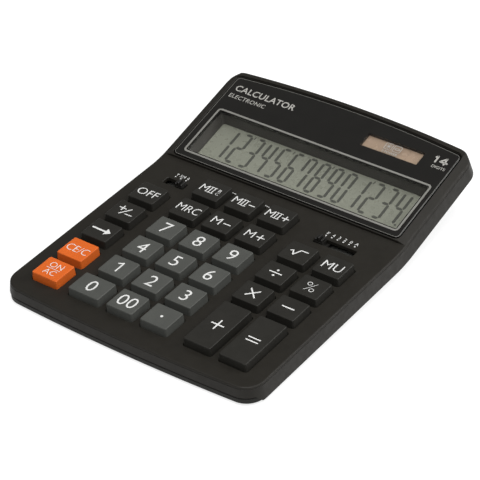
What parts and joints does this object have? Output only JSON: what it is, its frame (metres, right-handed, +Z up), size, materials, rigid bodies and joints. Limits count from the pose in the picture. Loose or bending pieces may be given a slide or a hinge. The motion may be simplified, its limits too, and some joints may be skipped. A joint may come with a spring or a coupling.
{
  "type": "desk calculator",
  "caption": "Desk calculator with a bent two-shell case, a keyboard of sprung keys, two slide switches, a wide display behind a glossy panel and a solar window.",
  "frame": {"origin": "on the desk, under the middle of the case's outline", "axes": "+X to the right as the user faces the keys, +Y from the user towards the display, +Z up"},
  "size_m": [0.155, 0.205, 0.039],
  "materials": {
    "case": "fine matt moulded ABS, warm black",
    "black_key": "fine matt moulded ABS, black",
    "grey_key": "fine matt moulded ABS, dark grey",
    "orange_key": "satin moulded ABS, orange",
    "switch_knob": "satin moulded ABS, black",
    "panel": "clear acrylic, black printed on its back, with clear windows",
    "bezel": "matt dark grey",
    "lcd": "grey-green liquid crystal under a satin polariser",
    "solar": "brown amorphous silicon behind clear plastic",
    "board": "green solder mask",
    "silicone": "translucent silicone",
    "epoxy": "black epoxy drop",
    "ribbon": "polyimide film",
    "steel": "bright nickel plated",
    "rubber": "matt black rubber",
    "red_lead": "red PVC insulation",
    "black_lead": "black PVC insulation",
    "legend_ink": "white pad-printed ink",
    "lcd_ink": "dark liquid crystal segments",
    "silver_ink": "silver screen-printed line"
  },
  "bodies": {
    "case": {"upper_housing": "case", "lower_housing": "case", "display_window": "panel", "lcd_bezel": "bezel", "lcd_glass": "lcd", "solar_cell": "solar", "main_board": "board", "key_membrane": "silicone", "processor_chip": "epoxy", "lcd_ribbon": "ribbon", "solar_lead_positive": "red_lead", "solar_lead_negative": "black_lead", "button_cell": "steel", "battery_contact_negative": "steel", "battery_contact_positive": "steel", "battery_lead_negative": "black_lead", "battery_lead_positive": "red_lead", "case_screw_front_left": "steel", "case_screw_front_right": "steel", "case_screw_back_left": "steel", "case_screw_back_right": "steel", "foot_front_left": "rubber", "foot_front_right": "rubber", "foot_back_left": "rubber", "foot_back_right": "rubber"},
    "rounding_switch_knob": {"rounding_switch_knob": "switch_knob"},
    "decimal_switch_knob": {"decimal_switch_knob": "switch_knob"},
    "battery_door": {"battery_door": "case"},
    "key_on_ac": {"key_on_ac": "orange_key"},
    "key_ce_c": {"key_ce_c": "orange_key"},
    "key_backspace": {"key_backspace": "black_key"},
    "key_sign": {"key_sign": "black_key"},
    "key_off": {"key_off": "black_key"},
    "key_0": {"key_0": "grey_key"},
    "key_00": {"key_00": "grey_key"},
    "key_point": {"key_point": "grey_key"},
    "key_mrc": {"key_mrc": "black_key"},
    "key_m_minus": {"key_m_minus": "black_key"},
    "key_m_plus": {"key_m_plus": "black_key"},
    "key_mii_rc": {"key_mii_rc": "black_key"},
    "key_mii_minus": {"key_mii_minus": "black_key"},
    "key_mii_plus": {"key_mii_plus": "black_key"},
    "key_plus": {"key_plus": "black_key"},
    "key_multiply": {"key_multiply": "black_key"},
    "key_divide": {"key_divide": "black_key"},
    "key_root": {"key_root": "black_key"},
    "key_equals": {"key_equals": "black_key"},
    "key_minus": {"key_minus": "black_key"},
    "key_percent": {"key_percent": "black_key"},
    "key_markup": {"key_markup": "black_key"},
    "key_1": {"key_1": "grey_key"},
    "key_2": {"key_2": "grey_key"},
    "key_3": {"key_3": "grey_key"},
    "key_4": {"key_4": "grey_key"},
    "key_5": {"key_5": "grey_key"},
    "key_6": {"key_6": "grey_key"},
    "key_7": {"key_7": "grey_key"},
    "key_8": {"key_8": "grey_key"},
    "key_9": {"key_9": "grey_key"}
  },
  "joints": [
    {"name": "battery_door_slide", "type": "slide", "parent": "case", "child": "battery_door", "axis": [0, 1, 0], "range_m": [0, 0.006]},
    {"name": "rounding_switch_slide", "type": "slide", "parent": "case", "child": "rounding_switch_knob", "axis": [1, 0, 0], "range_m": [-0.00694, 0]},
    {"name": "decimal_switch_slide", "type": "slide", "parent": "case", "child": "decimal_switch_knob", "axis": [1, 0, 0], "range_m": [0, 0.01735]},
    {"name": "key_on_ac_press", "type": "slide", "parent": "case", "child": "key_on_ac", "axis": [0, 0.0436, -0.999], "range_m": [0, 0.0015], "stiffness_N_per_m": 300, "springref_m": -0.001, "deforming": ["key_membrane"]},
    {"name": "key_ce_c_press", "type": "slide", "parent": "case", "child": "key_ce_c", "axis": [0, 0.0436, -0.999], "range_m": [0, 0.0015], "stiffness_N_per_m": 300, "springref_m": -0.001, "deforming": ["key_membrane"]},
    {"name": "key_backspace_press", "type": "slide", "parent": "case", "child": "key_backspace", "axis": [0, 0.0436, -0.999], "range_m": [0, 0.0015], "stiffness_N_per_m": 300, "springref_m": -0.001, "deforming": ["key_membrane"]},
    {"name": "key_sign_press", "type": "slide", "parent": "case", "child": "key_sign", "axis": [0, 0.0436, -0.999], "range_m": [0, 0.0015], "stiffness_N_per_m": 300, "springref_m": -0.001, "deforming": ["key_membrane"]},
    {"name": "key_off_press", "type": "slide", "parent": "case", "child": "key_off", "axis": [0, 0.0436, -0.999], "range_m": [0, 0.0015], "stiffness_N_per_m": 300, "springref_m": -0.001, "deforming": ["key_membrane"]},
    {"name": "key_0_press", "type": "slide", "parent": "case", "child": "key_0", "axis": [0, 0.0436, -0.999], "range_m": [0, 0.0015], "stiffness_N_per_m": 300, "springref_m": -0.001, "deforming": ["key_membrane"]},
    {"name": "key_00_press", "type": "slide", "parent": "case", "child": "key_00", "axis": [0, 0.0436, -0.999], "range_m": [0, 0.0015], "stiffness_N_per_m": 300, "springref_m": -0.001, "deforming": ["key_membrane"]},
    {"name": "key_point_press", "type": "slide", "parent": "case", "child": "key_point", "axis": [0, 0.0436, -0.999], "range_m": [0, 0.0015], "stiffness_N_per_m": 300, "springref_m": -0.001, "deforming": ["key_membrane"]},
    {"name": "key_mrc_press", "type": "slide", "parent": "case", "child": "key_mrc", "axis": [0, 0.0436, -0.999], "range_m": [0, 0.0015], "stiffness_N_per_m": 300, "springref_m": -0.001, "deforming": ["key_membrane"]},
    {"name": "key_m_minus_press", "type": "slide", "parent": "case", "child": "key_m_minus", "axis": [0, 0.0436, -0.999], "range_m": [0, 0.0015], "stiffness_N_per_m": 300, "springref_m": -0.001, "deforming": ["key_membrane"]},
    {"name": "key_m_plus_press", "type": "slide", "parent": "case", "child": "key_m_plus", "axis": [0, 0.0436, -0.999], "range_m": [0, 0.0015], "stiffness_N_per_m": 300, "springref_m": -0.001, "deforming": ["key_membrane"]},
    {"name": "key_mii_rc_press", "type": "slide", "parent": "case", "child": "key_mii_rc", "axis": [0, 0.0436, -0.999], "range_m": [0, 0.0015], "stiffness_N_per_m": 300, "springref_m": -0.001, "deforming": ["key_membrane"]},
    {"name": "key_mii_minus_press", "type": "slide", "parent": "case", "child": "key_mii_minus", "axis": [0, 0.0436, -0.999], "range_m": [0, 0.0015], "stiffness_N_per_m": 300, "springref_m": -0.001, "deforming": ["key_membrane"]},
    {"name": "key_mii_plus_press", "type": "slide", "parent": "case", "child": "key_mii_plus", "axis": [0, 0.0436, -0.999], "range_m": [0, 0.0015], "stiffness_N_per_m": 300, "springref_m": -0.001, "deforming": ["key_membrane"]},
    {"name": "key_plus_press", "type": "slide", "parent": "case", "child": "key_plus", "axis": [0, 0.0436, -0.999], "range_m": [0, 0.0015], "stiffness_N_per_m": 300, "springref_m": -0.001, "deforming": ["key_membrane"]},
    {"name": "key_multiply_press", "type": "slide", "parent": "case", "child": "key_multiply", "axis": [0, 0.0436, -0.999], "range_m": [0, 0.0015], "stiffness_N_per_m": 300, "springref_m": -0.001, "deforming": ["key_membrane"]},
    {"name": "key_divide_press", "type": "slide", "parent": "case", "child": "key_divide", "axis": [0, 0.0436, -0.999], "range_m": [0, 0.0015], "stiffness_N_per_m": 300, "springref_m": -0.001, "deforming": ["key_membrane"]},
    {"name": "key_root_press", "type": "slide", "parent": "case", "child": "key_root", "axis": [0, 0.0436, -0.999], "range_m": [0, 0.0015], "stiffness_N_per_m": 300, "springref_m": -0.001, "deforming": ["key_membrane"]},
    {"name": "key_equals_press", "type": "slide", "parent": "case", "child": "key_equals", "axis": [0, 0.0436, -0.999], "range_m": [0, 0.0015], "stiffness_N_per_m": 300, "springref_m": -0.001, "deforming": ["key_membrane"]},
    {"name": "key_minus_press", "type": "slide", "parent": "case", "child": "key_minus", "axis": [0, 0.0436, -0.999], "range_m": [0, 0.0015], "stiffness_N_per_m": 300, "springref_m": -0.001, "deforming": ["key_membrane"]},
    {"name": "key_percent_press", "type": "slide", "parent": "case", "child": "key_percent", "axis": [0, 0.0436, -0.999], "range_m": [0, 0.0015], "stiffness_N_per_m": 300, "springref_m": -0.001, "deforming": ["key_membrane"]},
    {"name": "key_markup_press", "type": "slide", "parent": "case", "child": "key_markup", "axis": [0, 0.0436, -0.999], "range_m": [0, 0.0015], "stiffness_N_per_m": 300, "springref_m": -0.001, "deforming": ["key_membrane"]},
    {"name": "key_1_press", "type": "slide", "parent": "case", "child": "key_1", "axis": [0, 0.0436, -0.999], "range_m": [0, 0.0015], "stiffness_N_per_m": 300, "springref_m": -0.001, "deforming": ["key_membrane"]},
    {"name": "key_2_press", "type": "slide", "parent": "case", "child": "key_2", "axis": [0, 0.0436, -0.999], "range_m": [0, 0.0015], "stiffness_N_per_m": 300, "springref_m": -0.001, "deforming": ["key_membrane"]},
    {"name": "key_3_press", "type": "slide", "parent": "case", "child": "key_3", "axis": [0, 0.0436, -0.999], "range_m": [0, 0.0015], "stiffness_N_per_m": 300, "springref_m": -0.001, "deforming": ["key_membrane"]},
    {"name": "key_4_press", "type": "slide", "parent": "case", "child": "key_4", "axis": [0, 0.0436, -0.999], "range_m": [0, 0.0015], "stiffness_N_per_m": 300, "springref_m": -0.001, "deforming": ["key_membrane"]},
    {"name": "key_5_press", "type": "slide", "parent": "case", "child": "key_5", "axis": [0, 0.0436, -0.999], "range_m": [0, 0.0015], "stiffness_N_per_m": 300, "springref_m": -0.001, "deforming": ["key_membrane"]},
    {"name": "key_6_press", "type": "slide", "parent": "case", "child": "key_6", "axis": [0, 0.0436, -0.999], "range_m": [0, 0.0015], "stiffness_N_per_m": 300, "springref_m": -0.001, "deforming": ["key_membrane"]},
    {"name": "key_7_press", "type": "slide", "parent": "case", "child": "key_7", "axis": [0, 0.0436, -0.999], "range_m": [0, 0.0015], "stiffness_N_per_m": 300, "springref_m": -0.001, "deforming": ["key_membrane"]},
    {"name": "key_8_press", "type": "slide", "parent": "case", "child": "key_8", "axis": [0, 0.0436, -0.999], "range_m": [0, 0.0015], "stiffness_N_per_m": 300, "springref_m": -0.001, "deforming": ["key_membrane"]},
    {"name": "key_9_press", "type": "slide", "parent": "case", "child": "key_9", "axis": [0, 0.0436, -0.999], "range_m": [0, 0.0015], "stiffness_N_per_m": 300, "springref_m": -0.001, "deforming": ["key_membrane"]}
  ]
}
